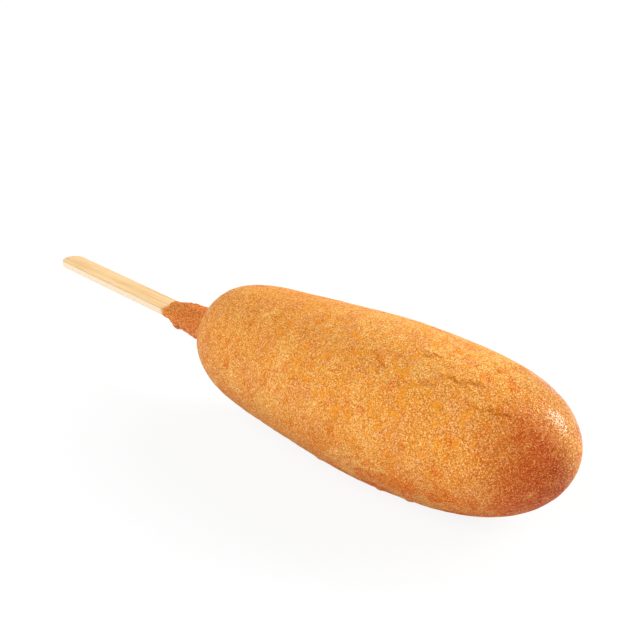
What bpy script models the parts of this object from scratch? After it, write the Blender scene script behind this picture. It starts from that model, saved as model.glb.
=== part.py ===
"""Corn dog lying on its side: a body of fried corn batter on a flat wooden stick.

Frame, in metres: +X runs along the body from the stick's free end to the rounded
tip, +Z is up, and the origin is the middle of the footprint, on the table plane.
The batter is one solid: the body, the collar that it forms round the stick, and a
blind slot that the stick passes into. It rests on a small flat pressed into its
underside. The stick is a second solid, with a fit gap to the slot.
"""
import math

import bmesh
import bpy
from mathutils import Matrix, Vector

MM = 0.001

# Body: a turned shape, blunt at the stick, widest past its middle, rounder at the tip.
BODY_LENGTH = 119.8 * MM
BODY_RADIUS = 21.0 * MM
BODY_WIDEST = 0.588            # share of the length, from the stick's side
BODY_TAPER = 0.266             # share of the radius lost towards the stick
TAPER_EASE = 0.10              # how gently that taper starts
SHOULDER_POWER = 9.4           # higher is blunter
TIP_POWER = 3.1
BODY_BOW = 3.0 * MM            # the middle bends this far towards -Y
REST_FLAT_DEPTH = 0.8 * MM     # how far the table presses into the underside
SWELL = 0.15 * MM              # slow unevenness of the batter
FLAT_SIDE_DEPTH = 0.4 * MM     # a shallow flat on the far upper side, near the tip
FLAT_SIDE_SHARE = 0.76         # its place along the body
FLAT_SIDE_ANGLE = math.radians(61)  # angles round the batter run from +Y towards +Z

# Collar: the batter's sleeve on the stick, from the body's end outwards.
COLLAR_LENGTH = 23.0 * MM
COLLAR_ROOT_RADIUS = 5.1 * MM
COLLAR_END_RADIUS = 4.55 * MM
COLLAR_END_FLATNESS = 0.48     # height over width at the collar's end
COLLAR_END_POWER = 4.0         # 2 is an oval section, higher is squarer
COLLAR_END_SLANT = 1.9 * MM    # the far side reaches this much further out
COLLAR_END_ROUND = 0.9 * MM
COLLAR_FILLET = 2.2 * MM
LIP_HEIGHT = 1.05 * MM         # a drip that hangs off the collar's near lower side
LIP_PLACE = 16.6 * MM          # from the body's end
LIP_OUTER_WIDTH = 1.8 * MM
LIP_INNER_WIDTH = 4.0 * MM
LIP_ANGLE = math.radians(236)

# Stick: flat, with two full-round ends and eased edges.
STICK_LENGTH = 140.0 * MM
STICK_REACH = 83.6 * MM        # free end to the body's end
STICK_WIDTH = 7.5 * MM
STICK_THICKNESS = 2.2 * MM
STICK_EDGE = 0.35 * MM
STICK_YAW = math.radians(4.3)
STICK_OFFSET_Y = -0.85 * MM    # the stick's axis where it meets the body's end
STICK_OFFSET_Z = -1.2 * MM
FIT_GAP = 0.3 * MM

SEGMENTS = 60                  # round the batter
BODY_RINGS = 62
COLLAR_RINGS = 8
ARC_STEPS = 12                 # half a stick end

BODY_END_X = -BODY_LENGTH / 2
AXIS_HEIGHT = BODY_RADIUS - REST_FLAT_DEPTH


def smooth(value, low, high):
    """Rises smoothly from 0 at low to 1 at high."""
    share = min(1.0, max(0.0, (value - low) / (high - low)))
    return share * share * (3 - 2 * share)


def body_radius(share):
    """Radius of the body at a share of its length, counted from the stick's side."""
    if share < BODY_WIDEST:
        away = (BODY_WIDEST - share) / BODY_WIDEST
        taper = BODY_TAPER * (math.hypot(away, TAPER_EASE) - TAPER_EASE)
        return BODY_RADIUS * (1 - taper) * math.sqrt(max(0.0, 1 - away ** SHOULDER_POWER))
    away = (share - BODY_WIDEST) / (1 - BODY_WIDEST)
    return BODY_RADIUS * math.sqrt(max(0.0, 1 - away ** TIP_POWER))


def collar_radius(reach):
    """Half width of the collar at a distance from the body's end."""
    share = min(1.0, max(0.0, reach / COLLAR_LENGTH))
    return COLLAR_ROOT_RADIUS + (COLLAR_END_RADIUS - COLLAR_ROOT_RADIUS) * share


def towards_wood(reach):
    """0 where the collar is round, rising to 1 where it follows the flat stick."""
    return smooth(reach, 0.3 * COLLAR_LENGTH, COLLAR_LENGTH)


def collar_section(reach, angle):
    """Share of the collar's half width at an angle: an oval that gets squarer outwards."""
    power = 2 + (COLLAR_END_POWER - 2) * towards_wood(reach)
    return (abs(math.cos(angle)) ** power + abs(math.sin(angle)) ** power) ** (-1 / power)


def fillet_setback(radius):
    """How far the inner corner between collar and shoulder is filled, along the stick."""
    depth = COLLAR_FILLET - (radius - COLLAR_ROOT_RADIUS)
    if depth <= 0:
        return 0.0
    depth = min(depth, COLLAR_FILLET)
    return COLLAR_FILLET - math.sqrt(COLLAR_FILLET ** 2 - depth ** 2)


def batter_profile():
    """The turned outline, as (x, radius), from the collar's end to the tip."""
    first = math.acos(1 - 2 * share_of_radius(COLLAR_ROOT_RADIUS))
    body = []
    for ring in range(BODY_RINGS + 1):
        angle = first + (math.pi - first) * (ring / BODY_RINGS) ** 1.35
        share = (1 - math.cos(angle)) / 2
        radius = 0.0 if ring == BODY_RINGS else body_radius(share)
        setback = fillet_setback(radius) if share < BODY_WIDEST else 0.0
        body.append((BODY_END_X + share * BODY_LENGTH - setback, radius))

    collar = [(BODY_END_X - COLLAR_LENGTH, 0.0)]
    for step in range(4):
        turn = math.radians(90) * step / 4
        x = BODY_END_X - COLLAR_LENGTH + COLLAR_END_ROUND * (1 - math.cos(turn))
        collar.append((x, COLLAR_END_RADIUS - COLLAR_END_ROUND * (1 - math.sin(turn))))
    start = BODY_END_X - COLLAR_LENGTH + COLLAR_END_ROUND
    stop = body[0][0]
    for ring in range(COLLAR_RINGS):
        x = start + (stop - start) * ring / COLLAR_RINGS
        collar.append((x, collar_radius(BODY_END_X - x)))
    return collar + body


def share_of_radius(radius):
    """Where on the shoulder the body first reaches a radius, by halving."""
    low, high = 0.0, BODY_WIDEST
    for _ in range(40):
        middle = (low + high) / 2
        if body_radius(middle) < radius:
            low = middle
        else:
            high = middle
    return high


def swell(share, angle):
    """Slow unevenness: a few long waves along and round the body, none at its ends."""
    waves = (math.cos(2 * (angle - FLAT_SIDE_ANGLE)) * math.cos(6 * share - 2.5)
             + 0.3 * math.sin(3 * angle - 8.5 * share + 1.9)
             + 0.3 * math.sin(angle + 13.0 * share + 3.1))
    turn = math.remainder(angle - FLAT_SIDE_ANGLE, 2 * math.pi) / math.radians(45)
    along = (share - FLAT_SIDE_SHARE) / 0.12
    flat = FLAT_SIDE_DEPTH * math.exp(-along * along - turn * turn)
    return SWELL * waves * math.sin(math.pi * min(1.0, max(0.0, share))) - flat


def lip(reach, angle):
    """The drip near the collar's end: a bump, steeper on its outer side."""
    away = reach - LIP_PLACE
    along = away / (LIP_OUTER_WIDTH if away > 0 else LIP_INNER_WIDTH)
    turn = math.remainder(angle - LIP_ANGLE, 2 * math.pi) / math.radians(45)
    return LIP_HEIGHT * math.exp(-along * along - turn * turn)


def place_on_centre_line(point):
    """Moves a point of the turned shape to the bowed, slightly uneven real one."""
    radius = math.hypot(point.y, point.z)
    angle = math.atan2(point.z, point.y)
    share = (point.x - BODY_END_X) / BODY_LENGTH
    reach = BODY_END_X - point.x
    on_stick = 1 - smooth(radius, COLLAR_ROOT_RADIUS, 3 * COLLAR_ROOT_RADIUS)
    on_stick *= 1 - smooth(share, 0.10, 0.30)

    across = radius * math.cos(angle)
    upwards = radius * math.sin(angle)
    slant = 0.0
    if reach > 0:
        section = collar_section(reach, angle)
        hang = lip(reach, angle) * radius / COLLAR_ROOT_RADIUS
        flatness = 1 - (1 - COLLAR_END_FLATNESS) * towards_wood(reach)
        across = section * across + hang * math.cos(angle)
        upwards = section * upwards * flatness + hang * math.sin(angle)
        slant = COLLAR_END_SLANT * towards_wood(reach) * across / COLLAR_END_RADIUS
    elif radius > 0:
        across += swell(share, angle) * math.cos(angle)
        upwards += swell(share, angle) * math.sin(angle)

    inside = min(1.0, max(0.0, share))
    bow = -BODY_BOW * (1 - (2 * inside - 1) ** 2)
    stick_y = STICK_OFFSET_Y + reach * math.tan(STICK_YAW)
    y = across + bow * (1 - on_stick) + stick_y * on_stick
    z = upwards + AXIS_HEIGHT + STICK_OFFSET_Z * on_stick
    return Vector((point.x - slant, y, z))


def new_material(name, colour, roughness):
    material = bpy.data.materials.new(name)
    material.use_nodes = True
    shader = material.node_tree.nodes["Principled BSDF"]
    shader.inputs["Base Color"].default_value = (*colour, 1.0)
    shader.inputs["Roughness"].default_value = roughness
    shader.inputs["Metallic"].default_value = 0.0
    material.diffuse_color = (*colour, 1.0)
    return material


def add_object(name, bm, material=None):
    bmesh.ops.recalc_face_normals(bm, faces=bm.faces)
    mesh = bpy.data.meshes.new(name)
    bm.to_mesh(mesh)
    bm.free()
    if material:
        mesh.materials.append(material)
    obj = bpy.data.objects.new(name, mesh)
    bpy.context.scene.collection.objects.link(obj)
    return obj


def press_rest_flat(bm):
    """Cuts the underside off at the table plane and closes it with one flat face."""
    geometry = bm.verts[:] + bm.edges[:] + bm.faces[:]
    cut = bmesh.ops.bisect_plane(bm, geom=geometry, dist=1e-7, plane_co=(0, 0, 0),
                                 plane_no=(0, 0, -1), clear_outer=True)
    rim = [item for item in cut["geom_cut"] if isinstance(item, bmesh.types.BMEdge)]
    bmesh.ops.contextual_create(bm, geom=rim)


def build_batter(material):
    bm = bmesh.new()
    points = [bm.verts.new((x, 0, radius)) for x, radius in batter_profile()]
    edges = [bm.edges.new(pair) for pair in zip(points, points[1:])]
    bmesh.ops.spin(bm, geom=points + edges, cent=(0, 0, 0), axis=(1, 0, 0),
                   angle=2 * math.pi, steps=SEGMENTS, use_merge=True)
    bmesh.ops.remove_doubles(bm, verts=bm.verts, dist=1e-6)
    for vert in bm.verts:
        vert.co = place_on_centre_line(vert.co)
    press_rest_flat(bm)
    batter = add_object("fried_batter", bm, material)
    batter.data.shade_smooth()
    batter.data.set_sharp_from_angle(angle=math.radians(40))
    return batter


def stick_mesh(gap):
    """The stick's full length as an extruded outline, grown by a gap all round."""
    radius = STICK_WIDTH / 2 + gap
    centre = STICK_LENGTH / 2 - STICK_WIDTH / 2
    bm = bmesh.new()
    outline = []
    for side in (1, -1):
        for step in range(2 * ARC_STEPS + 1):
            turn = math.pi * (step / (2 * ARC_STEPS) - 0.5)
            x = side * (centre + radius * math.cos(turn))
            outline.append(bm.verts.new((x, side * radius * math.sin(turn),
                                         -STICK_THICKNESS / 2 - gap)))
    base = bm.faces.new(outline)
    grown = bmesh.ops.extrude_face_region(bm, geom=[base])
    top = [item for item in grown["geom"] if isinstance(item, bmesh.types.BMVert)]
    bmesh.ops.translate(bm, verts=top, vec=(0, 0, STICK_THICKNESS + 2 * gap))
    return bm


def place_stick(obj):
    """Lays a stick along its own axis: free end outwards, the rest in the batter."""
    outwards = Vector((-math.cos(STICK_YAW), math.sin(STICK_YAW), 0))
    root = Vector((BODY_END_X, STICK_OFFSET_Y, AXIS_HEIGHT + STICK_OFFSET_Z))
    obj.location = root + outwards * (STICK_REACH - STICK_LENGTH / 2)
    obj.rotation_euler = (0, 0, -STICK_YAW)


def build_stick(material):
    stick = add_object("wooden_stick", stick_mesh(0.0), material)
    place_stick(stick)
    stick.data.shade_smooth()
    stick.data.set_sharp_from_angle(angle=math.radians(40))
    ease = stick.modifiers.new("eased_edges", "BEVEL")
    ease.width = STICK_EDGE
    ease.segments = 2
    ease.limit_method = "ANGLE"
    ease.angle_limit = math.radians(60)
    return stick


def cut_stick_slot(batter):
    cutter = add_object("slot_cutter", stick_mesh(FIT_GAP))
    place_stick(cutter)
    cutter.hide_render = True
    cutter.display_type = "WIRE"
    slot = batter.modifiers.new("stick_slot", "BOOLEAN")
    slot.operation = "DIFFERENCE"
    slot.solver = "EXACT"
    slot.object = cutter
    return cutter


def centre_footprint(root, pieces):
    """Moves the parent so that the origin is the middle of the whole footprint."""
    bpy.context.view_layer.update()
    view = bpy.context.evaluated_depsgraph_get()
    corners = []
    for piece in pieces:
        shown = piece.evaluated_get(view)
        corners += [shown.matrix_world @ vert.co for vert in shown.data.vertices]
    for axis in (0, 1):
        values = [corner[axis] for corner in corners]
        root.location[axis] = -(min(values) + max(values)) / 2


def main():
    for obj in list(bpy.data.objects):
        bpy.data.objects.remove(obj, do_unlink=True)
    root = bpy.data.objects.new("corn_dog", None)
    bpy.context.scene.collection.objects.link(root)

    crust = new_material("fried_crust", (0.66, 0.27, 0.06), 0.55)
    wood = new_material("plain_birch", (0.84, 0.60, 0.33), 0.6)
    batter = build_batter(crust)
    stick = build_stick(wood)
    cutter = cut_stick_slot(batter)
    for obj in (batter, stick, cutter):
        obj.parent = root
        obj.matrix_parent_inverse = Matrix.Identity(4)
    centre_footprint(root, (batter, stick))


main()
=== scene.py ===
"""Corn dog on a flat wooden stick, made as a Blender add-on and run as a script.

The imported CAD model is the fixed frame. Two pieces stand for its two nodes: the fried
batter with its collar, and the stick. Lengths are in metres, in the frame's own axes:
+X runs from the stick's free end to the rounded tip and +Z is up.
"""
import math

import bmesh
import bpy
from bpy.props import FloatProperty, FloatVectorProperty, IntProperty, PointerProperty
from mathutils import Matrix, Vector, noise


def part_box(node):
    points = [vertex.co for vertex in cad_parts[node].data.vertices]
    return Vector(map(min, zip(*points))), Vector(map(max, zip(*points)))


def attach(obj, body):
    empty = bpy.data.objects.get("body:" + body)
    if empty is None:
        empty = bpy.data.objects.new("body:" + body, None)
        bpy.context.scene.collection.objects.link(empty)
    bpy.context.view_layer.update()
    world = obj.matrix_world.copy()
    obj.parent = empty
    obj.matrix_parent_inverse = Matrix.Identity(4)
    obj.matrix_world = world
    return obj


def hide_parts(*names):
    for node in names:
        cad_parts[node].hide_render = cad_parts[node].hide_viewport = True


bl_info = {
    "name": "Corn Dog",
    "version": (1, 0, 0),
    "blender": (4, 5, 0),
    "location": "3D View > Sidebar > Corn Dog",
    "description": "Models a fried corn dog on its stick, round a packed frame",
    "category": "Add Mesh",
}

MM = 0.001
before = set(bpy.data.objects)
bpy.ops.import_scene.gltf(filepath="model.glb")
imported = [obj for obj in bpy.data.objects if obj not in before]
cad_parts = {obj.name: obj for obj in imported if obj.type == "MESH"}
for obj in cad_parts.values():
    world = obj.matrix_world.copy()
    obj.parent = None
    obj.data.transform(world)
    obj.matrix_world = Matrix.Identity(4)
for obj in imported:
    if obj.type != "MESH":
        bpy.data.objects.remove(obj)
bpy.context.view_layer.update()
BATTER_LOW, BATTER_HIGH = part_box("fried_batter")
STICK_LOW, STICK_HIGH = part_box("wooden_stick")

# The turned outline that the batter shares with the frame. A share runs along the body
# from its blunt end (0) to its tip (1), a reach from the blunt end out along the collar,
# and angles round the batter from +Y towards +Z.
BODY_WIDEST = 0.588                  # share where the body is thickest
BODY_TAPER = 0.266                   # how much thinner it gets towards the blunt end
TAPER_EASE = 0.10                    # how softly that taper starts
SHOULDER_POWER = 9.4                 # how square the blunt end's shoulder is
TIP_POWER = 3.1                      # how full the tip is
FLAT_SIDE_SHARE = 0.76
FLAT_SIDE_ANGLE = math.radians(61)
NEAR_SIDE_ANGLE = math.radians(240)  # the side where the collar stays thick for longest
LIP_ANGLE = math.radians(236)
LIP_REACH = 16.9 * MM
RAGGED_EDGE = 0.6 * MM               # how far the collar's end wanders in and out
COLLAR_RINGS = 0.30 * MM             # spacing of the rings along the collar
COLLAR_END_INSET = 1.5 * MM          # how far in the collar's end face closes on the wood
MERGE = 0.001 * MM                   # points nearer than this are one point

# ShaderNodeMix keeps a socket of each data type: these are the colour ones.
MIX_FACTOR, MIX_A, MIX_B, MIX_RESULT = 0, 6, 7, 2


# ---------------------------------------------------------------- small helpers

def linear(hex_colour):
    """An sRGB hex colour as the linear values that shaders take."""
    values = [int(hex_colour[i:i + 2], 16) / 255 for i in (0, 2, 4)]
    return tuple(v / 12.92 if v <= 0.04045 else ((v + 0.055) / 1.055) ** 2.4 for v in values)


def smooth(value, low, high):
    """Rises smoothly from 0 at low to 1 at high."""
    share = min(1.0, max(0.0, (value - low) / (high - low)))
    return share * share * (3 - 2 * share)


def mix(low, high, share):
    return low + (high - low) * share


def turn_between(angle, centre):
    """The signed turn from one angle round the batter to another."""
    return math.remainder(angle - centre, 2 * math.pi)


def bell(value, width):
    return math.exp(-(value / width) ** 2)


def bumps(point, size, seed=0.0):
    """Smooth noise from -1 to 1 whose lumps are about one size across."""
    return noise.noise(point / size + Vector((seed, -seed, 2 * seed)))


def add_node(tree, kind, inputs=(), **settings):
    """Adds a node. inputs gives a value, or the socket to link, for a socket's name or number."""
    node = tree.nodes.new(kind)
    for name, value in settings.items():
        setattr(node, name, value)
    for key, value in dict(inputs).items():
        if isinstance(value, bpy.types.NodeSocket):
            tree.links.new(value, node.inputs[key])
        else:
            node.inputs[key].default_value = value
    return node


def new_material(name):
    material = bpy.data.materials.new(name)
    material.use_nodes = True
    material.node_tree.nodes.clear()
    return material, material.node_tree


def patches(tree, place, size, low, high, detail=2.0, roughness=0.5):
    """A mask from 0 to 1 of soft patches about one size across, more of them as low falls."""
    cloud = add_node(tree, "ShaderNodeTexNoise", {
        "Vector": place, "Scale": 1 / size, "Detail": detail, "Roughness": roughness})
    mask = add_node(tree, "ShaderNodeMapRange", {
        "Value": cloud.outputs["Fac"], "From Min": low, "From Max": high},
        interpolation_type="SMOOTHSTEP")
    return mask.outputs["Result"]


def times(tree, value, share):
    """The product of a mask and a number or another mask."""
    return add_node(tree, "ShaderNodeMath", {0: value, 1: share},
                    operation="MULTIPLY").outputs[0]


def paint_layers(tree, base, layers, blend="MIX"):
    """Lays colours over a base one after another, each through its mask."""
    colour = base
    for tint, mask in layers:
        layer = add_node(tree, "ShaderNodeMix", {
            MIX_FACTOR: mask, MIX_A: colour, MIX_B: (*tint, 1.0)},
            data_type="RGBA", blend_type=blend)
        colour = layer.outputs[MIX_RESULT]
    return colour


def new_piece(name, bm, material, node):
    """Turns a finished bmesh into a piece that rides on the root for one CAD node."""
    mesh = bpy.data.meshes.new(name)
    bm.to_mesh(mesh)
    bm.free()
    mesh.materials.append(material)
    mesh.shade_smooth()
    piece = bpy.data.objects.new(name, mesh)
    bpy.context.scene.collection.objects.link(piece)
    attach(piece, "root")
    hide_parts(node)
    return piece


def save_attribute(piece, name, values):
    """Stores one number for each point, for the material to read."""
    attribute = piece.data.attributes.new(name, "FLOAT", "POINT")
    attribute.data.foreach_set("value", values)


# ---------------------------------------------------------------- settings

class CornDogBatterSettings(bpy.types.PropertyGroup):
    """Sizes and colours of the fried batter."""

    body_length: FloatProperty(
        name="Body Length", description="Batter body from its blunt end to its tip",
        default=119.8 * MM, unit="LENGTH")
    body_radius: FloatProperty(
        name="Body Radius", description="Half the body's greatest thickness",
        default=21.0 * MM, unit="LENGTH")
    bow: FloatProperty(
        name="Bow", description="How far the middle bends sideways",
        default=3.0 * MM, unit="LENGTH")
    rest_flat: FloatProperty(
        name="Rest Flat", description="How far the table presses into the underside",
        default=0.8 * MM, unit="LENGTH")
    swell: FloatProperty(
        name="Swell", description="Height of the slow unevenness that the frame has too",
        default=0.15 * MM, unit="LENGTH")
    flat_side: FloatProperty(
        name="Flat Side", description="Depth of the shallow flat on the far upper side",
        default=0.4 * MM, unit="LENGTH")
    collar_length: FloatProperty(
        name="Collar Length", description="Batter sleeve on the stick, from the body's end",
        default=23.0 * MM, unit="LENGTH")
    collar_root: FloatProperty(
        name="Collar Root Radius", description="Half thickness of the collar at the body",
        default=5.1 * MM, unit="LENGTH")
    collar_slant: FloatProperty(
        name="Collar Slant", description="How much further out the collar's far side reaches",
        default=1.05 * MM, unit="LENGTH")
    collar_film: FloatProperty(
        name="Collar Film", description="Thickness of the batter where it ends on the wood",
        default=0.12 * MM, unit="LENGTH")
    collar_fillet: FloatProperty(
        name="Collar Fillet", description="Rounding of the corner between collar and body",
        default=2.2 * MM, unit="LENGTH")
    lip_height: FloatProperty(
        name="Lip Height", description="How far the drip hangs off the collar",
        default=1.2 * MM, unit="LENGTH")
    lump_height: FloatProperty(
        name="Lump Height", description="Height of the soft lumps all over the body",
        default=0.10 * MM, unit="LENGTH")
    crag_height: FloatProperty(
        name="Crag Height", description="Height of the rough patches on the upper side",
        default=0.22 * MM, unit="LENGTH")
    rings: IntProperty(
        name="Body Rings", description="Rings along the body", default=308)
    segments: IntProperty(
        name="Segments", description="Points round the batter", default=252)
    golden: FloatVectorProperty(
        name="Golden", description="Main colour of the crust", subtype="COLOR",
        default=linear("DF9A46"))
    # Pale gives the random paler patches, and also paints light along the top.
    pale_and_painted_light: FloatVectorProperty(
        name="Pale", description="Paler, drier batter along the top", subtype="COLOR",
        default=linear("E5AA5C"))
    # Deep gives the random deeper patches, and also paints shade low on the sides, underneath and
    # at the blunt end.
    deep_and_painted_shade: FloatVectorProperty(
        name="Deep", description="Deeper orange batter low on the sides", subtype="COLOR",
        default=linear("D46C10"))
    tan: FloatVectorProperty(
        name="Tan", description="Dull pinkish patches", subtype="COLOR",
        default=linear("DC9650"))
    amber: FloatVectorProperty(
        name="Amber", description="Oily yellow-orange spots", subtype="COLOR",
        default=linear("E39328"))
    browned: FloatVectorProperty(
        name="Browned", description="Where the oil browned the tip", subtype="COLOR",
        default=linear("B8540F"))
    collar_brown: FloatVectorProperty(
        name="Collar Brown", description="Thin batter browned on the stick", subtype="COLOR",
        default=linear("CD762F"))
    # Creased is painted shade down in the wrinkles, partly a browner crust there.
    creased_and_shade: FloatVectorProperty(
        name="Creased", description="Browner batter down in the wrinkles", subtype="COLOR",
        default=linear("CC7A0C"))
    # Crevice darkens the lines between the grains: painted shade in their hollows.
    crevice: FloatVectorProperty(
        name="Crevice", description="What the oily lines between the grains filter out",
        subtype="COLOR", default=(0.72, 0.46, 0.08))
    # Oiled is painted shade: it darkens the upper side of the tip, where the lights fall
    # brightest.
    painted_tip_shade: FloatVectorProperty(
        name="Oiled", description="What a film of oil filters out of the crust",
        subtype="COLOR", default=(0.78, 0.74, 0.50))
    # Crumb is a painted glint on the tops of the grains, partly their paler crumb colour.
    crumb_and_glint: FloatVectorProperty(
        name="Crumb", description="What the dry tops of the grains add", subtype="COLOR",
        default=(0.26, 0.23, 0.13))


class CornDogStickSettings(bpy.types.PropertyGroup):
    """Sizes and colours of the wooden stick."""

    length: FloatProperty(
        name="Length", description="Whole stick, with the part inside the batter",
        default=140.0 * MM, unit="LENGTH")
    width: FloatProperty(
        name="Width", description="Across the flat face", default=7.5 * MM, unit="LENGTH")
    thickness: FloatProperty(
        name="Thickness", description="Between the flat faces",
        default=2.2 * MM, unit="LENGTH")
    reach: FloatProperty(
        name="Reach", description="Free end to the batter body's end",
        default=83.6 * MM, unit="LENGTH")
    yaw: FloatProperty(
        name="Yaw", description="Turn of the stick from the body's line",
        default=math.radians(4.3), unit="ROTATION")
    drop: FloatProperty(
        name="Drop", description="How far the stick's axis lies below the body's",
        default=1.2 * MM, unit="LENGTH")
    aside: FloatProperty(
        name="Aside", description="How far the stick's axis lies to the near side",
        default=0.85 * MM, unit="LENGTH")
    edge: FloatProperty(
        name="Eased Edge", description="Rounding of the long edges",
        default=0.35 * MM, unit="LENGTH")
    grain_width: FloatProperty(
        name="Grain Width", description="Spacing of the wood's lengthwise lines",
        default=0.55 * MM, unit="LENGTH")
    face_wood: FloatVectorProperty(
        name="Face Wood", description="Flat faces", subtype="COLOR",
        default=linear("D5B27F"))
    edge_wood: FloatVectorProperty(
        name="Edge Wood", description="Paler sanded edges", subtype="COLOR",
        default=linear("E4D0B2"))
    light_wood: FloatVectorProperty(
        name="Light Wood", description="Broad lighter bands along the grain",
        subtype="COLOR", default=linear("E8CA9A"))
    line_wood: FloatVectorProperty(
        name="Grain Line", description="Darker lines of the grain", subtype="COLOR",
        default=linear("C89660"))
    stained_wood: FloatVectorProperty(
        name="Stained Wood", description="Oil-stained wood at the collar", subtype="COLOR",
        default=linear("CF8A44"))


class CornDogStageSettings(bpy.types.PropertyGroup):
    """Floor, lights and camera."""

    camera_azimuth: FloatProperty(
        name="Camera Azimuth", description="Round the object, from looking along +Y",
        default=math.radians(44.15), unit="ROTATION")
    camera_elevation: FloatProperty(
        name="Camera Elevation", description="Above the horizon",
        default=math.radians(22.0), unit="ROTATION")
    camera_distance: FloatProperty(
        name="Camera Distance", description="To the middle of the batter body",
        default=295.2 * MM, unit="LENGTH")
    camera_left: FloatProperty(
        name="Camera Left", description="Sideways step that frames the whole object",
        default=13.4 * MM, unit="LENGTH")
    camera_up: FloatProperty(
        name="Camera Up", description="Upward step that frames the whole object",
        default=17.15 * MM, unit="LENGTH")
    camera_lens: FloatProperty(
        name="Lens", description="Focal length on a 36 mm sensor, in millimetres",
        default=64.7)
    floor_radius: FloatProperty(
        name="Floor Radius", description="Of the round white floor",
        default=4.0, unit="LENGTH")
    paper_white: FloatProperty(
        name="Paper White", description="Share of the light that the floor gives back",
        default=0.74, subtype="FACTOR")
    sky_strength: FloatProperty(
        name="Sky Strength", description="Even white light from all round", default=0.35)
    key_strength: FloatProperty(
        name="Key Strength", description="Wide soft light from the right and behind",
        default=0.75)
    tip_strength: FloatProperty(
        name="Tip Strength", description="Lower, smaller softbox that glints on the tip",
        default=0.74)
    fill_strength: FloatProperty(
        name="Fill Strength", description="Wide soft light from the left and in front",
        default=0.74)


# ---------------------------------------------------------------- batter

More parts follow.
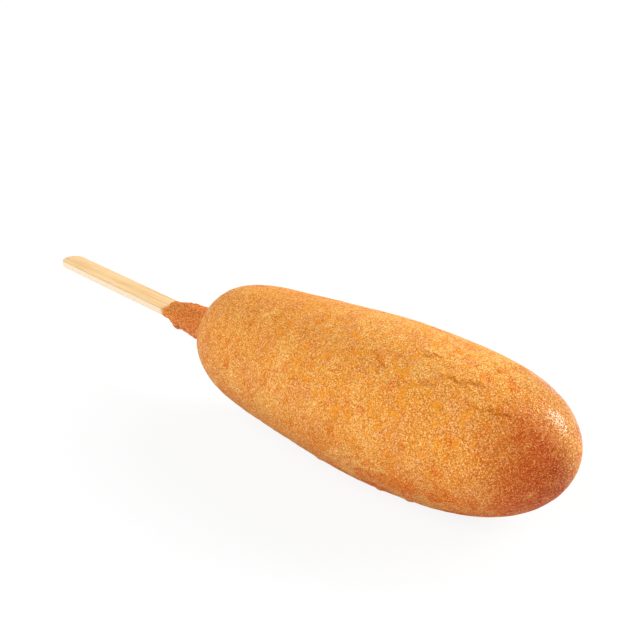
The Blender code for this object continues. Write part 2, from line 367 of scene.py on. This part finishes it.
class BatterShape:
    """The batter's outline and surface, worked out from the settings and the frame."""

    def __init__(self, batter, stick):
        self.batter = batter
        self.stick = stick
        self.end_x = BATTER_HIGH.x - batter.body_length
        self.axis_z = batter.body_radius - batter.rest_flat
        free_end_y = (STICK_LOW.y + STICK_HIGH.y) / 2
        middle_reach = stick.reach - stick.length / 2
        self.axis_y = free_end_y - middle_reach * math.sin(stick.yaw) + stick.aside

    def body_radius(self, share):
        """Radius of the turned body at a share of its length."""
        if share < BODY_WIDEST:
            away = (BODY_WIDEST - share) / BODY_WIDEST
            taper = BODY_TAPER * (math.hypot(away, TAPER_EASE) - TAPER_EASE)
            blunt = math.sqrt(max(0.0, 1 - away ** SHOULDER_POWER))
            return self.batter.body_radius * (1 - taper) * blunt
        away = (share - BODY_WIDEST) / (1 - BODY_WIDEST)
        return self.batter.body_radius * math.sqrt(max(0.0, 1 - away ** TIP_POWER))

    def fillet_setback(self, radius):
        """How far the corner between collar and shoulder is filled, along the stick."""
        fillet = self.batter.collar_fillet
        depth = min(fillet, fillet - (radius - self.batter.collar_root))
        return 0.0 if depth <= 0 else fillet - math.sqrt(fillet ** 2 - depth ** 2)

    def profile(self):
        """The turned outline in the frame's x and as a radius, collar first."""
        batter = self.batter
        first, last = 0.0, 0.5
        for _ in range(40):   # halving finds where the body is as thin as the collar
            middle = (first + last) / 2
            if self.body_radius(middle) < batter.collar_root:
                first = middle
            else:
                last = middle
        start = math.acos(1 - 2 * last)

        body = []
        for ring in range(batter.rings + 1):
            share = (1 - math.cos(mix(start, math.pi, ring / batter.rings))) / 2
            radius = 0.0 if ring == batter.rings else self.body_radius(share)
            setback = self.fillet_setback(radius) if share < BODY_WIDEST else 0.0
            body.append((self.end_x + share * batter.body_length - setback, radius))

        outer_x = self.end_x - batter.collar_length
        inner_x = body[0][0]
        closed_x = outer_x + COLLAR_END_INSET
        collar = [(closed_x, 0.0), (closed_x, 0.5 * batter.collar_root)]
        steps = round((inner_x - outer_x) / COLLAR_RINGS)
        for ring in range(steps):
            collar.append((mix(outer_x, inner_x, ring / steps), batter.collar_root))
        return collar + body

    def stick_section(self, angle, film):
        """Radius of the stick's own flat section at an angle, with a film of batter on it."""
        half_width = self.stick.width / 2 + film
        half_height = self.stick.thickness / 2 + film
        across = abs(math.cos(angle)) / half_width
        upwards = abs(math.sin(angle)) / half_height
        return (across ** 7 + upwards ** 7) ** (-1 / 7)

    def collar_section(self, reach, angle):
        """Radius of the collar: round at the body, thinning to a film on the flat stick."""
        batter = self.batter
        outwards = reach / batter.collar_length
        thick = 1 - smooth(outwards, 0.45, 1.0)
        oval = batter.collar_root * mix(0.90, 1.0, 1 - smooth(outwards, 0.0, 0.55))
        film = self.stick_section(angle, batter.collar_film)
        near_side = 0.5 + 0.5 * math.cos(angle - NEAR_SIDE_ANGLE)
        return mix(film, oval, thick ** mix(0.62, 0.50, near_side))

    def lip(self, reach, angle):
        """The drip near the collar's end, with a crevice behind it."""
        away = reach - LIP_REACH
        drip = bell(away, 2.0 * MM if away > 0 else 1.9 * MM)
        crevice = 0.5 * bell(away + 2.3 * MM, 0.8 * MM)
        turn = bell(turn_between(angle, LIP_ANGLE), math.radians(38))
        return self.batter.lip_height * (drip - crevice) * turn

    def edge_shift(self, reach, angle):
        """How much further out the collar's slanted, ragged edge lies at an angle."""
        length = self.batter.collar_length
        around = Vector((math.cos(angle), math.sin(angle), 0))
        ragged = 1.4 * bumps(around, 0.45, 3.0) + 0.5 * bumps(around, 0.15, 8.0)
        shift = self.batter.collar_slant * math.cos(angle) + RAGGED_EDGE * ragged
        return smooth(reach, 0.3 * length, length) * shift

    def swell(self, share, angle):
        """The slow unevenness that the frame's batter has."""
        waves = (math.cos(2 * (angle - FLAT_SIDE_ANGLE)) * math.cos(6 * share - 2.5)
                 + 0.3 * math.sin(3 * angle - 8.5 * share + 1.9)
                 + 0.3 * math.sin(angle + 13.0 * share + 3.1))
        flat = bell(turn_between(angle, FLAT_SIDE_ANGLE), math.radians(45))
        flat *= bell(share - FLAT_SIDE_SHARE, 0.12)
        ends = math.sin(math.pi * min(1.0, max(0.0, share)))
        return self.batter.swell * waves * ends - self.batter.flat_side * flat

    def coordinates(self, point):
        """Share along the body, reach out along the collar, and angle of a turned point."""
        reach = self.end_x - point.x
        return -reach / self.batter.body_length, reach, math.atan2(point.z, point.y)

    def place(self, point):
        """Moves a turned point to the bowed, uneven shape, in the frame's axes."""
        batter, stick = self.batter, self.stick
        radius = math.hypot(point.y, point.z)
        share, reach, angle = self.coordinates(point)
        along = 0.0
        if reach > 0 and radius > 0.9 * batter.collar_root:
            radius += self.collar_section(reach, angle) - batter.collar_root
            radius += self.lip(reach, angle)
            along = self.edge_shift(reach, angle)
        elif reach <= 0:
            radius += self.swell(share, angle) if radius > 0 else 0.0
        else:
            radius *= 0.3   # the end face's inner ring stays inside the stick

        on_stick = 1 - smooth(radius, batter.collar_root, 3 * batter.collar_root)
        on_stick *= 1 - smooth(share, 0.10, 0.30)
        inside = min(1.0, max(0.0, share))
        bow = -batter.bow * (1 - (2 * inside - 1) ** 2)
        stick_y = reach * math.tan(stick.yaw) - stick.aside
        y = self.axis_y + radius * math.cos(angle) + mix(bow, stick_y, on_stick)
        z = self.axis_z + radius * math.sin(angle) - stick.drop * on_stick
        return Vector((point.x - along, y, z))


def crag_share(share, angle):
    """How rough the crust is: most along the upper side, right of the middle."""
    upper = bell(turn_between(angle, math.radians(118)), math.radians(48))
    near = 0.75 * bell(turn_between(angle, math.radians(160)), math.radians(32))
    low = 0.6 * bell(turn_between(angle, math.radians(238)), math.radians(30))
    return min(1.0, upper * bell(share - 0.74, 0.24) + near * bell(share - 0.66, 0.16)
               + low * bell(share - 0.62, 0.24))


def amber_share(share, angle):
    """How many oily amber spots the crust has: most over the middle of the near top."""
    return min(1.0, 1.3 * bell(share - 0.64, 0.36) * bell(
        turn_between(angle, math.radians(138)), math.radians(62)))


def oil_and_shade_share(share, angle):
    """Where a film of oil stays wet on the crust, and where painted shade darkens it: the upper
    side of the tip.
    """
    side = smooth(math.cos(turn_between(angle, math.radians(55))), 0.45, 0.92)
    return smooth(share, 0.76, 0.93) * mix(side, 0.5, smooth(share, 0.97, 1.0))


def tip_browning(shape, share, angle, point):
    """How browned the crust is near the tip: on its near side and below."""
    side = math.radians(200)
    away = Vector((0, math.cos(side), math.sin(side)))
    off = away.dot(point - Vector((0, shape.axis_y, shape.axis_z)))
    return smooth(share, 0.84, 0.98) * smooth(off, -4 * MM, 5 * MM)


def collar_browning(reach):
    """How browned the collar is: it fades in at the body's end, and a little out again."""
    return smooth(reach, -9 * MM, 3 * MM) * (1 - 0.3 * smooth(reach, 12 * MM, 21 * MM))


def painted_side_shading(share, angle):
    """Painted shade low on the near side, below and at the blunt end (1), painted light on top
    (-1).
    """
    low = smooth(-math.cos(turn_between(angle, math.radians(75))), 0.20, 0.90)
    low *= mix(0.15, 1.0, smooth(share, 0.40, 0.62))
    high = bell(turn_between(angle, math.radians(88)), math.radians(32))
    high *= smooth(share, 0.34, 0.50) * (1 - smooth(share, 0.84, 0.95))
    end = 0.25 * (1 - smooth(share, 0.02, 0.10))
    return low - high + end


# Wrinkles in the crust: ends as share along the body and angle in degrees, and depth.
WRINKLES = (
    ((0.778, 120.0), (0.842, 116.0), 0.38 * MM),
    ((0.852, 132.0), (0.912, 126.0), 0.42 * MM),
    ((0.600, 121.0), (0.655, 129.0), 0.30 * MM),
    ((0.700, 110.0), (0.735, 107.0), 0.32 * MM),
    ((0.735, 131.0), (0.760, 128.0), 0.34 * MM),
)

# Crumbs stuck to the crust, most of them low on the near side: share along the body,
# angle in degrees, width and height.
CRUMBS = (
    (0.648, 228.0, 1.0 * MM, 0.34 * MM),
    (0.714, 232.0, 0.9 * MM, 0.32 * MM),
    (0.905, 236.0, 1.0 * MM, 0.34 * MM),
    (0.480, 226.0, 0.8 * MM, 0.26 * MM),
    (0.560, 160.0, 0.7 * MM, 0.18 * MM),
    (0.350, 150.0, 0.7 * MM, 0.16 * MM),
    (0.700, 20.0, 0.9 * MM, 0.30 * MM),
    (0.420, 335.0, 1.0 * MM, 0.32 * MM),
)


def crumbs(shape, share, angle):
    """Height of the stuck crumbs."""
    girth, length = shape.batter.body_radius, shape.batter.body_length
    total = 0.0
    for at, turn, width, height in CRUMBS:
        aside = turn_between(angle, math.radians(turn)) * girth
        total += height * bell(math.hypot((share - at) * length, aside), width)
    return total


def wrinkle(shape, share, angle, point):
    """Depth of the wrinkles at a point, and how much of a groove it lies in."""
    depth, groove = 0.0, 0.0
    girth = shape.batter.body_radius
    for (share_a, turn_a), (share_b, turn_b), full in WRINKLES:
        run = Vector(((share_b - share_a) * shape.batter.body_length,
                      math.radians(turn_b - turn_a) * girth, 0))
        off = Vector(((share - share_a) * shape.batter.body_length,
                      turn_between(angle, math.radians(turn_a)) * girth, 0))
        along = off.dot(run) / run.length_squared
        if not -0.3 < along < 1.3:
            continue
        aside = off.cross(run).z / run.length + 0.8 * MM * bumps(point, 2.0 * MM, 5.0)
        ends = smooth(along, -0.2, 0.15) * (1 - smooth(along, 0.85, 1.2))
        cut = ends * bell(aside, 0.42 * MM)
        depth += full * (cut - 0.4 * ends * bell(aside - 1.0 * MM, 0.6 * MM))
        groove = max(groove, cut)
    return depth, groove


def crust_relief(shape, share, reach, angle, point):
    """Height of the crust's surface: lumps, crumbs, crags, pits, wrinkles, rough collar."""
    batter = shape.batter
    lumps = bumps(point, 9 * MM) + 0.6 * bumps(point, 4 * MM, 2.0)
    lumps += 0.40 * bumps(point, 1.7 * MM, 4.0) + 0.25 * bumps(point, 1.0 * MM, 6.0)
    height = batter.lump_height * lumps + crumbs(shape, share, angle)
    crag = crag_share(share, angle)
    if crag > 0.02 and reach < 0:   # on the body, where its crust is rough
        folds = 1 - 2 * abs(bumps(point, 3.2 * MM, 7.0))
        grit = bumps(point, 1.3 * MM, 9.0)
        pit = smooth(bumps(point, 2.1 * MM, 11.0), 0.28, 0.55)
        height += batter.crag_height * crag * (0.6 * folds + 0.6 * grit - 1.1 * pit)
        height -= wrinkle(shape, share, angle, point)[0]
    rough = smooth(reach, -3 * MM, 4 * MM) * (1 - smooth(reach, 19 * MM, 26 * MM))
    if rough > 0:
        coarse = bumps(point, 1.9 * MM, 13.0) + 0.8 * bumps(point, 1.0 * MM, 15.0)
        coarse += 0.6 * bumps(point, 0.6 * MM, 17.0)
        height += 0.22 * MM * rough * coarse
    return height


def crust_masks(shape, share, reach, angle, point):
    """What the crust's material reads at a point, by the name of the attribute."""
    return {
        "browning": tip_browning(shape, share, angle, point),
        "groove": wrinkle(shape, share, angle, point)[1],
        "painted_shading": painted_side_shading(share, angle),
        "amber": amber_share(share, angle),
        # The oil mask also carries the painted shade on the tip's upper side.
        "oil_and_shade": oil_and_shade_share(share, angle),
        "collar": collar_browning(reach),
    }


def crust_material(settings):
    """Deep-fried corn batter: a fine, gritty crust of cornmeal with a thin film of oil.

    The grit gives a close leathery grain; its dark lines are painted shade and its pale tops
    painted glints, partly paler crumbs.
    The oil gives a soft sheen, hotter oil browns the tip and the thin collar, and the colour also
    holds painted shade low on the sides, at the blunt end, on the tip's upper side and in the
    wrinkles, and painted light along the top.
    """
    material, tree = new_material("fried_corn_batter")
    place = add_node(tree, "ShaderNodeTexCoord").outputs["Object"]
    brown, collar, amber, oil_and_shade, painted_shading, groove = (
        add_node(tree, "ShaderNodeAttribute", attribute_name=name).outputs["Fac"]
        for name in ("browning", "collar", "amber", "oil_and_shade", "painted_shading", "groove"))
    # The painted shading splits into painted shade, low on the sides and at the blunt end, and
    # painted light along the top.
    painted_low_shade = add_node(tree, "ShaderNodeClamp", {"Value": painted_shading}).outputs["Result"]
    painted_top_light = add_node(tree, "ShaderNodeClamp", {
        "Value": times(tree, painted_shading, -1.0)}).outputs["Result"]

    # Cornmeal grit is 0.2 to 0.4 mm. The noise keeps to that, and the pebbles that it
    # waves are drawn about twice as coarse, so that they show.
    grit = add_node(tree, "ShaderNodeTexNoise", {
        "Vector": place, "Scale": 1 / (0.32 * MM), "Detail": 1.0, "Roughness": 0.8})
    waved = add_node(tree, "ShaderNodeVectorMath", {
        0: grit.outputs["Color"], 1: (0.25 * MM,) * 3, 2: place}, operation="MULTIPLY_ADD")
    pebbles = add_node(tree, "ShaderNodeTexVoronoi", {
        "Vector": waved.outputs[0], "Scale": 1 / (0.62 * MM), "Smoothness": 0.2},
        feature="SMOOTH_F1")
    relief = add_node(tree, "ShaderNodeMath", {
        0: pebbles.outputs["Distance"], 1: -0.22, 2: grit.outputs["Fac"]},
        operation="MULTIPLY_ADD").outputs[0]
    # Lines and tops mark the hollows and the tops of the grains: the hollows get painted shade,
    # the tops painted glints.
    lines = add_node(tree, "ShaderNodeMapRange", {
        "Value": relief, "From Min": 0.43, "From Max": 0.27},
        interpolation_type="SMOOTHSTEP").outputs["Result"]
    tops = add_node(tree, "ShaderNodeMapRange", {
        "Value": relief, "From Min": 0.45, "From Max": 0.62},
        interpolation_type="SMOOTHSTEP").outputs["Result"]

    amber_spots = times(tree, patches(tree, place, 2.0 * MM, 0.51, 0.64, 4.0), amber)
    colour = paint_layers(tree, (*settings.golden, 1.0), (
        (settings.deep_and_painted_shade, painted_low_shade),
        (settings.pale_and_painted_light, painted_top_light),
        (settings.pale_and_painted_light, times(tree, patches(tree, place, 8 * MM, 0.46, 0.61, 3.0), 0.95)),
        (settings.deep_and_painted_shade, times(tree, patches(tree, place, 4 * MM, 0.52, 0.65, 4.0), 0.65)),
        (settings.tan, times(tree, patches(tree, place, 5.5 * MM, 0.50, 0.62, 4.0), 0.85)),
        (settings.amber, amber_spots),
        (settings.creased_and_shade, groove),
        (settings.collar_brown, times(
            tree, patches(tree, place, 1.5 * MM, 0.10, 0.55, 3.0), collar)),
        (settings.browned, times(
            tree, patches(tree, place, 3.0 * MM, 0.05, 0.50, 3.0, 0.6), brown)),
    ))
    dry = add_node(tree, "ShaderNodeMapRange", {
        "Value": amber_spots, "To Min": 1.0, "To Max": 0.6}).outputs["Result"]
    crisp = add_node(tree, "ShaderNodeMapRange", {
        "Value": brown, "To Min": 1.0, "To Max": 0.75}).outputs["Result"]
    # Painted shade darkens the upper side of the tip and the hollows between the grains; painted
    # glints lighten the tops of the grains.
    colour = paint_layers(tree, colour, (
        (settings.painted_tip_shade, oil_and_shade),
        (settings.crevice, times(tree, lines, dry))), "MULTIPLY")
    colour = paint_layers(tree, colour, (
        (settings.crumb_and_glint, times(tree, times(tree, tops, dry), crisp)),), "ADD")

    # The grit stands out more in some patches, and on the collar; oil levels it on the tip.
    coarse = add_node(tree, "ShaderNodeMapRange", {
        "Value": patches(tree, place, 6 * MM, 0.36, 0.64, 2.0),
        "To Min": 0.11 * MM, "To Max": 0.18 * MM}).outputs["Result"]
    rough = add_node(tree, "ShaderNodeMapRange", {
        "Value": collar, "To Min": 1.0, "To Max": 1.6}).outputs["Result"]
    level = add_node(tree, "ShaderNodeMapRange", {
        "Value": oil_and_shade, "From Min": 0.5, "To Min": 1.0, "To Max": 0.80}).outputs["Result"]
    bump = add_node(tree, "ShaderNodeBump", {
        "Height": relief, "Strength": level, "Distance": times(tree, coarse, rough)})

    # Only the tops of the grains shine: the lines between them stay matt. The film of oil
    # on the tip is a clear coat over those tops.
    shine = add_node(tree, "ShaderNodeMapRange", {
        "Value": relief, "From Min": 0.28, "From Max": 0.55},
        interpolation_type="SMOOTHSTEP").outputs["Result"]
    roughness = add_node(tree, "ShaderNodeMapRange", {
        "Value": shine, "To Min": 0.85, "To Max": 0.38}).outputs["Result"]
    film = add_node(tree, "ShaderNodeMapRange", {
        "Value": oil_and_shade, "From Min": 0.35, "From Max": 0.85}).outputs["Result"]
    shader = add_node(tree, "ShaderNodeBsdfPrincipled", {
        "Base Color": colour, "Roughness": roughness, "IOR": 1.42,
        "Specular IOR Level": 0.30, "Normal": bump.outputs["Normal"],
        "Coat Weight": times(tree, shine, film), "Coat Roughness": 0.20, "Coat IOR": 1.5})
    add_node(tree, "ShaderNodeOutputMaterial", {"Surface": shader.outputs["BSDF"]})
    return material


class CORNDOG_OT_fry_batter(bpy.types.Operator):
    """Model the fried batter: its bowed body, the collar on the stick and the crust"""

    bl_idname = "corndog.fry_batter"
    bl_label = "Fry Batter"

    def execute(self, context):
        batter = context.scene.corndog_batter
        shape = BatterShape(batter, context.scene.corndog_stick)

        bm = bmesh.new()
        outline = [bm.verts.new((x, 0, radius)) for x, radius in shape.profile()]
        edges = [bm.edges.new(pair) for pair in zip(outline, outline[1:])]
        bmesh.ops.spin(bm, geom=outline + edges, cent=(0, 0, 0), axis=(1, 0, 0),
                       angle=2 * math.pi, steps=batter.segments, use_merge=True)
        bmesh.ops.remove_doubles(bm, verts=bm.verts, dist=MERGE)
        bmesh.ops.recalc_face_normals(bm, faces=bm.faces)

        turned = [shape.coordinates(vert.co) for vert in bm.verts]
        for vert in bm.verts:
            vert.co = shape.place(vert.co)
        bm.normal_update()
        heights = [crust_relief(shape, *where, vert.co.copy())
                   for where, vert in zip(turned, bm.verts)]
        for vert, height in zip(bm.verts, heights):
            vert.co += vert.normal * height
            vert.co.z = max(vert.co.z, 0.0)   # the table presses the underside flat

        piece = new_piece("fried_batter_crust", bm, crust_material(batter),
                          "fried_batter")
        masks = [crust_masks(shape, *where, vert.co)
                 for where, vert in zip(turned, piece.data.vertices)]
        for name in masks[0]:
            save_attribute(piece, name, [mask[name] for mask in masks])
        return {"FINISHED"}


# ---------------------------------------------------------------- stick

STICK_END_SEGMENTS = 54   # points round its two ends together
STICK_CUTS = 2 * MM       # spacing of the cross cuts


def stick_frame(shape):
    """From the stick's own axes, X towards its free end, to the frame's."""
    stick = shape.stick
    root = Vector((shape.end_x, shape.axis_y - stick.aside, shape.axis_z - stick.drop))
    return Matrix.Translation(root) @ Matrix.Rotation(math.pi - stick.yaw, 4, "Z")


def birch_material(shape):
    """Birch veneer, rotary cut, pressed and tumbled smooth, with no finish on it.

    It is pale and matt, with fine lengthwise grain lines, paler on its sanded edges and
    stained by frying oil where it enters the batter.
    """
    stick = shape.stick
    material, tree = new_material("plain_birch")
    place = add_node(tree, "ShaderNodeTexCoord").outputs["Object"]
    inverse = stick_frame(shape).inverted()
    own = add_node(tree, "ShaderNodeMapping", {
        "Vector": place, "Location": inverse.to_translation(),
        "Rotation": inverse.to_euler()}, vector_type="POINT")
    # Grain lines run about forty times further than they are wide.
    drawn = add_node(tree, "ShaderNodeMapping", {
        "Vector": own.outputs["Vector"], "Scale": (1 / 40, 1, 1)}, vector_type="POINT")
    lines = patches(tree, drawn.outputs["Vector"], stick.grain_width, 0.46, 0.66, 3.0, 0.6)
    broad = patches(tree, drawn.outputs["Vector"], 4 * stick.grain_width, 0.42, 0.62, 2.0)
    # Short darker flecks where the veneer's fibres lift, as wide as three lines.
    short = add_node(tree, "ShaderNodeMapping", {
        "Vector": own.outputs["Vector"], "Scale": (1 / 9, 1, 1)}, vector_type="POINT")
    flecks = patches(tree, short.outputs["Vector"], 3 * stick.grain_width, 0.56, 0.70, 2.0)
    edge = add_node(tree, "ShaderNodeAttribute", attribute_name="sanded_edge").outputs["Fac"]

    axes = add_node(tree, "ShaderNodeSeparateXYZ", {"Vector": own.outputs["Vector"]})
    waver = add_node(tree, "ShaderNodeTexNoise", {
        "Vector": own.outputs["Vector"], "Scale": 1 / (1.6 * MM), "Detail": 2.0})
    reach = add_node(tree, "ShaderNodeMath", {
        0: waver.outputs["Fac"], 1: 3 * MM, 2: axes.outputs["X"]}, operation="MULTIPLY_ADD")
    stain = add_node(tree, "ShaderNodeMapRange", {
        "Value": reach.outputs[0],
        "From Min": shape.batter.collar_length - 1 * MM,
        "From Max": shape.batter.collar_length + 3 * MM,
        "To Min": 1.0, "To Max": 0.0}, interpolation_type="SMOOTHSTEP")

    colour = paint_layers(tree, (*stick.face_wood, 1.0), (
        (stick.light_wood, times(tree, broad, 0.45)),
        (stick.line_wood, times(tree, lines, 0.7)),
        (stick.line_wood, times(tree, flecks, 0.40)),
        (stick.edge_wood, edge),
        (stick.stained_wood, stain.outputs["Result"]),
    ))
    bump = add_node(tree, "ShaderNodeBump", {
        "Height": lines, "Strength": 0.35, "Distance": 0.03 * MM}, invert=True)
    shader = add_node(tree, "ShaderNodeBsdfPrincipled", {
        "Base Color": colour, "Roughness": 0.62, "IOR": 1.5,
        "Normal": bump.outputs["Normal"]})
    add_node(tree, "ShaderNodeOutputMaterial", {"Surface": shader.outputs["BSDF"]})
    return material


class CORNDOG_OT_cut_stick(bpy.types.Operator):
    """Model the flat wooden stick with its full-round ends and eased edges"""

    bl_idname = "corndog.cut_stick"
    bl_label = "Cut Stick"

    def execute(self, context):
        stick = context.scene.corndog_stick
        shape = BatterShape(context.scene.corndog_batter, stick)

        # A disc pulled apart at its middle is the stick's outline.
        bm = bmesh.new()
        bmesh.ops.create_circle(bm, cap_ends=True, segments=STICK_END_SEGMENTS,
                                radius=stick.width / 2)
        half_turn = math.pi / STICK_END_SEGMENTS
        bmesh.ops.rotate(bm, verts=bm.verts, matrix=Matrix.Rotation(half_turn, 3, "Z"))
        run = (stick.length - stick.width) / 2
        for vert in bm.verts:
            vert.co.x += math.copysign(run, vert.co.x) + stick.reach - stick.length / 2
            vert.co.z = -stick.thickness / 2
        thick = bmesh.ops.extrude_face_region(bm, geom=bm.faces[:])
        top = [item for item in thick["geom"] if isinstance(item, bmesh.types.BMVert)]
        bmesh.ops.translate(bm, verts=top, vec=(0, 0, stick.thickness))
        bmesh.ops.recalc_face_normals(bm, faces=bm.faces)

        rims = [edge for edge in bm.edges
                if abs(edge.verts[0].co.z - edge.verts[1].co.z) < 0.01 * MM]
        bmesh.ops.bevel(bm, geom=rims, offset=stick.edge, offset_type="OFFSET", segments=4,
                        profile=0.5, affect="EDGES", material=-1, clamp_overlap=True)
        # Cross cuts give the long faces points enough to waver a little.
        for step in range(1, 70):
            cut_x = stick.reach - stick.length + step * STICK_CUTS
            bmesh.ops.bisect_plane(bm, geom=bm.verts[:] + bm.edges[:] + bm.faces[:],
                                   plane_co=(cut_x, 0, 0), plane_no=(1, 0, 0), dist=MERGE)

        bm.normal_update()
        edges = [1 - smooth(abs(vert.normal.z), 0.1, 0.75) for vert in bm.verts]
        for vert in bm.verts:
            side = math.copysign(1.0, vert.co.y)
            vert.co.y += 0.05 * MM * bumps(Vector((vert.co.x, side, 0)), 11 * MM, 1.0)
            vert.co.z += 0.02 * MM * bumps(vert.co, 8 * MM, 2.0)
        bm.transform(stick_frame(shape))
        piece = new_piece("birch_stick", bm, birch_material(shape),
                          "wooden_stick")
        piece.data.set_sharp_from_angle(angle=math.radians(50))
        save_attribute(piece, "sanded_edge", edges)
        return {"FINISHED"}


# ---------------------------------------------------------------- stage

# The soft lights: heading from the camera's right towards its far side, height above the
# table and spread, all in degrees, and the setting with the strength.
SOFT_LIGHTS = (
    ("key_light", 42, 33, 36, "key_strength"),
    ("tip_softbox", 9, 25, 28, "tip_strength"),
    ("fill_light", 222, 34, 60, "fill_strength"),
)
# A white backdrop: the camera sees the floor mostly, and the sky wholly, as even white.
BACKDROP_SHARE = 0.86
BACKDROP_FLOOR = 1.025
BACKDROP_SKY = 1.04


def add_soft_light(name, direction, spread, strength):
    """A distant soft light. A strength of 1 lights a facing surface as a white sky does."""
    data = bpy.data.lights.new(name, "SUN")
    data.angle = spread
    data.energy = math.pi * strength
    light = bpy.data.objects.new(name, data)
    light.rotation_mode = "QUATERNION"
    light.rotation_quaternion = direction.to_track_quat("Z", "Y")
    bpy.context.scene.collection.objects.link(light)
    return light


class CORNDOG_OT_set_stage(bpy.types.Operator):
    """Add the white floor, the soft lights, the sky and the camera"""

    bl_idname = "corndog.set_stage"
    bl_label = "Set Stage"

    def execute(self, context):
        stage = context.scene.corndog_stage
        batter = context.scene.corndog_batter
        shape = BatterShape(batter, context.scene.corndog_stick)
        middle = Vector((shape.end_x + batter.body_length / 2, shape.axis_y, shape.axis_z))

        bm = bmesh.new()
        bmesh.ops.create_circle(bm, cap_ends=True, segments=96, radius=stage.floor_radius)
        mesh = bpy.data.meshes.new("floor")
        bm.to_mesh(mesh)
        bm.free()
        paper, tree = new_material("white_paper")
        matt = add_node(tree, "ShaderNodeBsdfDiffuse", {
            "Color": (stage.paper_white,) * 3 + (1.0,)})
        glow = add_node(tree, "ShaderNodeEmission", {"Strength": BACKDROP_FLOOR})
        seen = add_node(tree, "ShaderNodeLightPath").outputs["Is Camera Ray"]
        blend = add_node(tree, "ShaderNodeMixShader", {
            0: times(tree, seen, BACKDROP_SHARE), 1: matt.outputs[0], 2: glow.outputs[0]})
        add_node(tree, "ShaderNodeOutputMaterial", {"Surface": blend.outputs[0]})
        mesh.materials.append(paper)
        floor = bpy.data.objects.new("floor", mesh)
        context.scene.collection.objects.link(floor)

        azimuth, elevation = stage.camera_azimuth, stage.camera_elevation
        right = Vector((math.cos(azimuth), math.sin(azimuth), 0))
        back = Vector((-math.sin(azimuth), math.cos(azimuth), 0))
        up = Vector((0, 0, 1))
        look = back * math.cos(elevation) - up * math.sin(elevation)
        over = back * math.sin(elevation) + up * math.cos(elevation)

        camera_data = bpy.data.cameras.new("camera")
        camera_data.lens = stage.camera_lens
        camera_data.clip_start = 0.01
        camera = bpy.data.objects.new("camera", camera_data)
        camera.location = (middle - look * stage.camera_distance
                           - right * stage.camera_left + over * stage.camera_up)
        camera.rotation_mode = "QUATERNION"
        camera.rotation_quaternion = (-look).to_track_quat("Z", "Y")
        context.scene.collection.objects.link(camera)
        context.scene.camera = camera

        for name, heading, height, spread, strength in SOFT_LIGHTS:
            heading, height = math.radians(heading), math.radians(height)
            level = right * math.cos(heading) + back * math.sin(heading)
            light = add_soft_light(name, level * math.cos(height) + up * math.sin(height),
                                   math.radians(spread), getattr(stage, strength))
            # Only the softbox shows in the oil's sheen.
            light.visible_glossy = name == "tip_softbox"

        sky = bpy.data.worlds.new("white_sky")
        sky.use_nodes = True
        sky.node_tree.nodes.clear()
        # The object is lit by a dimmer sky than the white one that stands behind it.
        seen = add_node(sky.node_tree, "ShaderNodeLightPath").outputs["Is Camera Ray"]
        level = add_node(sky.node_tree, "ShaderNodeMapRange", {
            "Value": seen, "To Min": stage.sky_strength, "To Max": BACKDROP_SKY})
        glow = add_node(sky.node_tree, "ShaderNodeBackground", {
            "Color": (1.0, 1.0, 1.0, 1.0), "Strength": level.outputs["Result"]})
        add_node(sky.node_tree, "ShaderNodeOutputWorld", {
            "Surface": glow.outputs["Background"]})
        context.scene.world = sky
        context.scene.view_settings.view_transform = "Standard"
        return {"FINISHED"}


# ---------------------------------------------------------------- panel and start

class CORNDOG_PT_kitchen(bpy.types.Panel):
    """Lists the steps that make the corn dog"""

    bl_idname = "CORNDOG_PT_kitchen"
    bl_label = "Corn Dog"
    bl_space_type = "VIEW_3D"
    bl_region_type = "UI"
    bl_category = "Corn Dog"

    def draw(self, context):
        column = self.layout.column(align=True)
        for step in STEPS:
            column.operator(step.bl_idname)


STEPS = (CORNDOG_OT_fry_batter, CORNDOG_OT_cut_stick, CORNDOG_OT_set_stage)
SETTINGS = (
    ("corndog_batter", CornDogBatterSettings),
    ("corndog_stick", CornDogStickSettings),
    ("corndog_stage", CornDogStageSettings),
)


def register():
    for name, group in SETTINGS:
        bpy.utils.register_class(group)
        setattr(bpy.types.Scene, name, PointerProperty(type=group))
    for step in STEPS:
        bpy.utils.register_class(step)
    bpy.utils.register_class(CORNDOG_PT_kitchen)


def unregister():
    bpy.utils.unregister_class(CORNDOG_PT_kitchen)
    for step in reversed(STEPS):
        bpy.utils.unregister_class(step)
    for name, group in reversed(SETTINGS):
        delattr(bpy.types.Scene, name)
        bpy.utils.unregister_class(group)


def main():
    register()
    bpy.ops.corndog.fry_batter()
    bpy.ops.corndog.cut_stick()
    bpy.ops.corndog.set_stage()


if __name__ == "__main__":
    main()
